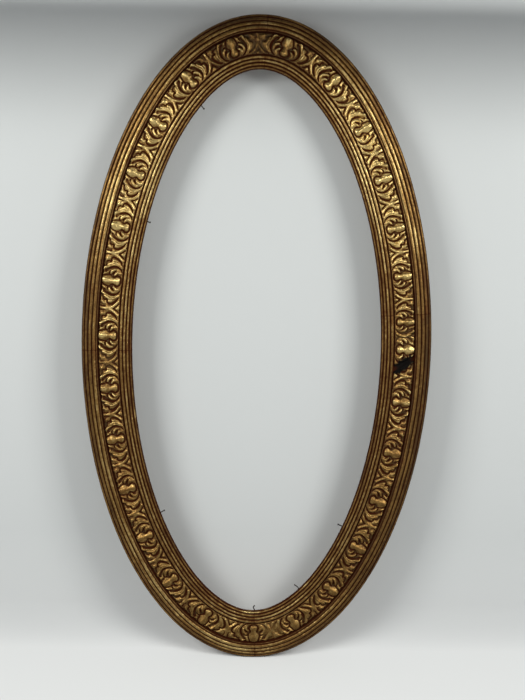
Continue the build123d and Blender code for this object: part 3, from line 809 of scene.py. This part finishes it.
def tube(path, radii, around=20):
    """Circles of given radii carried along a path, each square to it, with a pointed or flat end."""
    ahead = np.gradient(path, axis=0)
    ahead /= np.linalg.norm(ahead, axis=1)[:, None]
    helper = np.array([0.31, 0.87, 0.38])
    side = np.cross(ahead, helper)
    side /= np.linalg.norm(side, axis=1)[:, None]
    other = np.cross(ahead, side)
    t = np.linspace(0, 2 * np.pi, around, endpoint=False)
    ring = np.cos(t)[None, :, None] * side[:, None] + np.sin(t)[None, :, None] * other[:, None]
    return path[:, None] + ring * radii[:, None, None]


def joined(name, meshes):
    """One mesh from several."""
    work = bmesh.new()
    for mesh in meshes:
        work.from_mesh(mesh)
        bpy.data.meshes.remove(mesh)
    whole = bpy.data.meshes.new(name)
    work.to_mesh(whole)
    work.free()
    return whole


class OVALFRAME_OT_face_rails(bpy.types.Operator):
    """Carry the reeded moulding along each quarter of the oval"""

    bl_idname = "ovalframe.face_rails"
    bl_label = "Face rails"

    def execute(self, context):
        sizes = context.scene.oval_frame
        oval = Oval(sizes)
        finish = gilding(sizes, "aged_gold_leaf_on_moulding", 300.0, 0.30, 0.27)
        for side, (start, end) in FACE_RAILS.items():
            points, values = face_rail(oval, start, end)
            mesh = shell_mesh("moulding_" + side, points, values)
            new_object("moulding_" + side, mesh, finish, ["face_rail_" + side])
        return {"FINISHED"}


class OVALFRAME_OT_ornament(bpy.types.Operator):
    """Press the leaf ornament along the channel, with its joints and its break"""

    bl_idname = "ovalframe.ornament"
    bl_label = "Ornament strips"

    def execute(self, context):
        sizes = context.scene.oval_frame
        oval = Oval(sizes)
        field = carved_repeat()
        finish = gilding(sizes, "aged_gold_leaf_on_composition", 420.0, 0.26, 0.28)
        cuts = {"lower_right": (None, BREAK_LOWER), "broken_end": (BREAK_UPPER, None)}
        for side, marks in {**STRIPS, "broken_end": STRIPS["lower_right"]}.items():
            points, values = strip_surface(oval, field, marks, *cuts.get(side, (None, None)))
            mesh = shell_mesh("ornament_" + side, points, values, 1.3)
            new_object("ornament_" + side, mesh, finish, ["ornament_strip_" + side])
        return {"FINISHED"}


class OVALFRAME_OT_back_rails(bpy.types.Operator):
    """Give the back rails their bare wood, with the grain along each board"""

    bl_idname = "ovalframe.back_rails"
    bl_label = "Back rails"

    def execute(self, context):
        sizes = context.scene.oval_frame
        for lengthways, sides in (("X", ("top", "bottom")), ("Z", ("left", "right"))):
            wood = bare_wood(sizes, "bare_old_pine_" + lengthways.lower(), lengthways)
            for side in sides:
                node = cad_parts["back_rail_" + side]
                node.data.materials.clear()
                node.data.materials.append(wood)
        return {"FINISHED"}


class OVALFRAME_OT_brads(bpy.types.Operator):
    """Drive the old glazing brads through the rabbet wall"""

    bl_idname = "ovalframe.brads"
    bl_label = "Glazing brads"

    def execute(self, context):
        oval = Oval(context.scene.oval_frame)
        meshes = []
        for number, (angle, lean, missing, bend) in enumerate(BRADS):
            tip = oval.point(angle, oval.rail + BRAD_SHOWING, BRAD_LEVEL * LAYER_BACK)
            inward = oval.point(angle, 1.0, 0.0) - oval.point(angle, 0.0, 0.0)
            back = np.concatenate([np.linspace(missing, 6.5, 40), np.linspace(7, BRAD_LENGTH, 10)])
            # The shank keeps to its hole; what shows past the sight edge is bent
            turn = np.radians(lean + bend * step_up(-back, -BRAD_BEND[1], -BRAD_BEND[0]))
            direction = np.stack([
                inward[0] * np.cos(turn) + inward[2] * np.sin(turn), 0 * turn,
                -inward[0] * np.sin(turn) + inward[2] * np.cos(turn),
            ], axis=1)
            steps = (direction[1:] + direction[:-1]) / 2 * np.diff(back)[:, None]
            root = tip - BRAD_LENGTH * direction[-1]
            path = root + np.concatenate([np.cumsum(steps[::-1], axis=0)[::-1], np.zeros((1, 3))])
            widths = np.concatenate([np.array(BRAD_HEAD) + [missing, 0.0], BRAD_POINT])
            radii = np.interp(back, *widths.T)
            radii *= 1 + 0.05 * unevenness(back * 3, number * 5.0, 1.0, 14)
            meshes.append(shell_mesh("brad", tube(path, radii, 14), {}, 0.6))
        metal = old_metal("dark_rusted_iron", "#3a322c", "#20150f", 0.5, 0.55, 900.0)
        whole = joined("old_glazing_brads", meshes)
        new_object("old_glazing_brads", whole, metal, ["glazing_brads"])
        return {"FINISHED"}


class OVALFRAME_OT_screw_eyes(bpy.types.Operator):
    """Bend the two screw eyes from wire and stand them in the back"""

    bl_idname = "ovalframe.screw_eyes"
    bl_label = "Screw eyes"

    def execute(self, context):
        oval = Oval(context.scene.oval_frame)
        metal = old_metal("dull_old_brass", "#8d6f3a", "#54401f", 0.85, 0.34, 500.0)
        for side in EYE_SIDES:
            low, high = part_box("screw_eye_" + side)
            centre = np.array([(low[0] + high[0]) / 2, 0, (low[2] + high[2]) / 2]) / MM
            shank_end = low[1] / MM
            ring_y = high[1] / MM - EYE_WIRE - EYE_RING
            # An open ring, bent a little out of its plane towards both ends
            bend = np.radians(np.linspace(-62, 250, 60))
            ring = np.stack([
                0.45 * np.linspace(-1, 1, 60) ** 3, ring_y + EYE_RING * np.sin(bend), EYE_RING * np.cos(bend)
            ], axis=1)
            shank_y = np.linspace(shank_end, ring_y - 5.4, 90)
            shank = np.stack([np.zeros(90), shank_y, np.zeros(90)], axis=1)
            turn = np.linspace(0, 1, 10)[1:-1, None]
            neck = shank[-1] * (1 - turn) ** 2 + 2 * turn * (1 - turn) * np.array([0, ring_y - 4.6, 0])
            neck = neck + turn**2 * ring[-1]
            path = np.concatenate([shank, neck, ring[::-1]]) + centre
            shank_radii = np.interp(shank_y - shank_end, [0, 2.2], [0.3, EYE_SHANK])
            radii = np.concatenate([shank_radii, np.full(len(neck) + len(ring), EYE_WIRE)])
            thread = step_up(oval.back_plane - path[:, 1], 0.2, 1.0)
            radii = radii - THREAD_DEPTH * thread * (1 + np.sin(path[:, 1] * 2 * np.pi / THREAD_PITCH))
            radii[-1] *= 0.85
            points = tube(path, radii)
            mesh = shell_mesh("eye_" + side, points, {}, 0.9)
            new_object("wire_screw_eye_" + side, mesh, metal, ["screw_eye_" + side])
        return {"FINISHED"}


def backdrop_material(sizes, name, only_seen):
    """Matt pale card. The wall part is seen from the front and in reflections, and lets light past."""
    material, tree = new_material(name)
    place = put(tree, "ShaderNodeTexCoord").outputs["Object"]
    level = put(tree, "ShaderNodeSeparateXYZ", {"Vector": place}).outputs["Z"]
    low = cad_box[0][2]
    rise = remap(tree, level, low, low + 0.12)
    pale = blend(tree, rise, tuple(sizes.floor), tuple(sizes.wall))
    card = put(tree, "ShaderNodeBsdfDiffuse", {"Color": pale, "Roughness": 1.0}).outputs[0]
    if only_seen:
        path = put(tree, "ShaderNodeLightPath").outputs
        facing = put(tree, "ShaderNodeNewGeometry").outputs["Backfacing"]
        seen = put(
            tree, "ShaderNodeMath", {0: path["Is Camera Ray"], 1: path["Is Glossy Ray"]}, operation="MAXIMUM"
        ).outputs[0]
        shown = put(
            tree, "ShaderNodeMath", {0: seen, 1: facing}, operation="SUBTRACT", use_clamp=True
        ).outputs[0]
        clear = put(tree, "ShaderNodeBsdfTransparent").outputs[0]
        card = put(tree, "ShaderNodeMixShader", {0: shown, 1: clear, 2: card}).outputs[0]
    put(tree, "ShaderNodeOutputMaterial", {"Surface": card})
    return material


def lay_sheet(context, sizes):
    """A pale sheet that runs forward along the floor, bends up behind the frame and rises as a wall."""
    low, high = cad_box
    lean = sizes.floor_tilt
    turn = np.linspace(0, np.pi / 2, 24)[1:]
    far = high[1] + GAP_BEHIND + np.sin(lean) * (high[2] - low[2])
    radius = 0.9 * far
    run = np.concatenate([
        np.linspace(SHEET_FRONT, far - radius, FLOOR_ROWS), far - radius + radius * np.sin(turn), [far]
    ])
    rise = np.concatenate([np.zeros(FLOOR_ROWS), radius * (1 - np.cos(turn)), [WALL_HEIGHT]])
    x = np.linspace(-SHEET_HALF_WIDTH, SHEET_HALF_WIDTH, 3)
    y = run * np.cos(lean) - rise * np.sin(lean)
    z = run * np.sin(lean) + rise * np.cos(lean) + low[2] - GAP_BELOW
    place = np.stack(np.broadcast_arrays(x[None, :], y[:, None], z[:, None]), axis=-1)
    index = np.arange(len(y) * 3).reshape(-1, 3)
    quads = np.stack([index[:-1, :-1], index[:-1, 1:], index[1:, 1:], index[1:, :-1]], -1)
    for name, rows in (("pale_floor", slice(0, FLOOR_ROWS)), ("pale_backdrop", slice(FLOOR_ROWS - 1, None))):
        mesh = bpy.data.meshes.new(name)
        mesh.from_pydata(place.reshape(-1, 3).tolist(), [], quads[rows].reshape(-1, 4).tolist())
        mesh.polygons.foreach_set("use_smooth", np.ones(len(mesh.polygons), bool))
        sheet = bpy.data.objects.new(name, mesh)
        mesh.materials.append(backdrop_material(sizes, name, name == "pale_backdrop"))
        context.scene.collection.objects.link(sheet)


def light_room(context, sizes):
    """Room light, brighter overhead than at the level of the table. The camera sees the wall's colour."""
    world = bpy.data.worlds.new("soft_room")
    context.scene.world = world
    world.use_nodes = True
    tree = world.node_tree
    tree.nodes.clear()
    path = put(tree, "ShaderNodeLightPath").outputs["Is Camera Ray"]
    facing = put(tree, "ShaderNodeTexCoord").outputs["Generated"]
    up = put(tree, "ShaderNodeSeparateXYZ", {"Vector": facing}).outputs["Z"]
    strength = remap(tree, up, -0.1, 0.6, 0.30, 0.46)
    room = put(tree, "ShaderNodeBackground", {"Color": ROOM_COLOUR, "Strength": strength}).outputs[0]
    seen = put(tree, "ShaderNodeBackground", {"Color": tuple(sizes.wall), "Strength": 0.95}).outputs[0]
    mixed = put(tree, "ShaderNodeMixShader", {0: path, 1: room, 2: seen}).outputs[0]
    put(tree, "ShaderNodeOutputWorld", {"Surface": mixed})


def hang_lamps(context, sizes):
    """Two soft lamps in front of the frame, one at each side."""
    for name, spot in LAMPS.items():
        data = bpy.data.lights.new(name, "AREA")
        data.energy, data.size = sizes.lamp_power, LAMP_SIZE
        data.color = (1.0, 0.995, 0.95)
        lamp = bpy.data.objects.new(name, data)
        context.scene.collection.objects.link(lamp)
        lamp.location = spot
        lamp.rotation_mode = "QUATERNION"
        lamp.rotation_quaternion = Vector(np.subtract(LAMP_AIM, spot)).to_track_quat("-Z", "Y")


def hang_shade(context):
    """A dark shade just above the view keeps the lamps off the highest part, dark in the photograph."""
    top = cad_box[1][2]
    edge, root = ((y, top + above) for y, above in (SHADE_EDGE, SHADE_ROOT))
    mesh = bpy.data.meshes.new("lamp_shade")
    corners = [
        (-SHADE_HALF_WIDTH, *edge), (SHADE_HALF_WIDTH, *edge), (SHADE_HALF_WIDTH, *root),
        (-SHADE_HALF_WIDTH, *root),
    ]
    mesh.from_pydata(corners, [], [(0, 1, 2, 3)])
    shade = bpy.data.objects.new("lamp_shade", mesh)
    cloth, tree = new_material("grey_cloth")
    cloth_shader = put(tree, "ShaderNodeBsdfDiffuse", {"Color": linear("#5a5856")}).outputs[0]
    put(tree, "ShaderNodeOutputMaterial", {"Surface": cloth_shader})
    mesh.materials.append(cloth)
    shade.visible_camera = False
    context.scene.collection.objects.link(shade)


def add_camera(context):
    """The photograph's viewpoint, turned from a level look along +Y."""
    turn = np.array(CAMERA_TURN)
    angle = np.linalg.norm(turn)
    look = Matrix.Rotation(angle, 3, (turn / angle).tolist())
    right, ahead, up = (look.col[k] for k in range(3))
    data = bpy.data.cameras.new("viewpoint")
    data.lens = data.sensor_width * FOCAL_PIXELS / LONG_SIDE_PIXELS
    camera = bpy.data.objects.new("viewpoint", data)
    context.scene.collection.objects.link(camera)
    pose = Matrix.Identity(4)
    for row in range(3):
        pose[row][0], pose[row][1], pose[row][2] = right[row], up[row], -ahead[row]
        pose[row][3] = CAMERA_SPOT[row] * MM
    camera.matrix_world = pose
    data.clip_start, data.clip_end = 0.01, 50
    context.scene.camera = camera


class OVALFRAME_OT_stage(bpy.types.Operator):
    """Lay the pale floor and backdrop, set the soft lamps and the camera"""

    bl_idname = "ovalframe.stage"
    bl_label = "Stage, lamps and camera"

    def execute(self, context):
        sizes = context.scene.oval_frame
        lay_sheet(context, sizes)
        light_room(context, sizes)
        hang_lamps(context, sizes)
        hang_shade(context)
        add_camera(context)
        context.scene.view_settings.view_transform = "Standard"
        return {"FINISHED"}


class OVALFRAME_PT_panel(bpy.types.Panel):
    """Sizes, colours and steps of the oval frame"""

    bl_label = "Oval Frame"
    bl_idname = "OVALFRAME_PT_panel"
    bl_space_type = "VIEW_3D"
    bl_region_type = "UI"
    bl_category = "Oval Frame"

    def draw(self, context):
        sizes = context.scene.oval_frame
        for key in OvalFrameSizes.__annotations__:
            self.layout.prop(sizes, key)
        for step in STEPS:
            self.layout.operator(step.bl_idname)


STEPS = (
    OVALFRAME_OT_stage,
    OVALFRAME_OT_face_rails,
    OVALFRAME_OT_ornament,
    OVALFRAME_OT_back_rails,
    OVALFRAME_OT_brads,
    OVALFRAME_OT_screw_eyes,
)
CLASSES = (OvalFrameSizes, *STEPS, OVALFRAME_PT_panel)


def register():
    for kind in CLASSES:
        bpy.utils.register_class(kind)
    bpy.types.Scene.oval_frame = PointerProperty(type=OvalFrameSizes)


def unregister():
    del bpy.types.Scene.oval_frame
    for kind in reversed(CLASSES):
        bpy.utils.unregister_class(kind)


def main():
    """Make every piece and the stage."""
    register()
    bpy.ops.ovalframe.stage()
    bpy.ops.ovalframe.face_rails()
    bpy.ops.ovalframe.ornament()
    bpy.ops.ovalframe.back_rails()
    bpy.ops.ovalframe.brads()
    bpy.ops.ovalframe.screw_eyes()


if __name__ == "__main__":
    main()
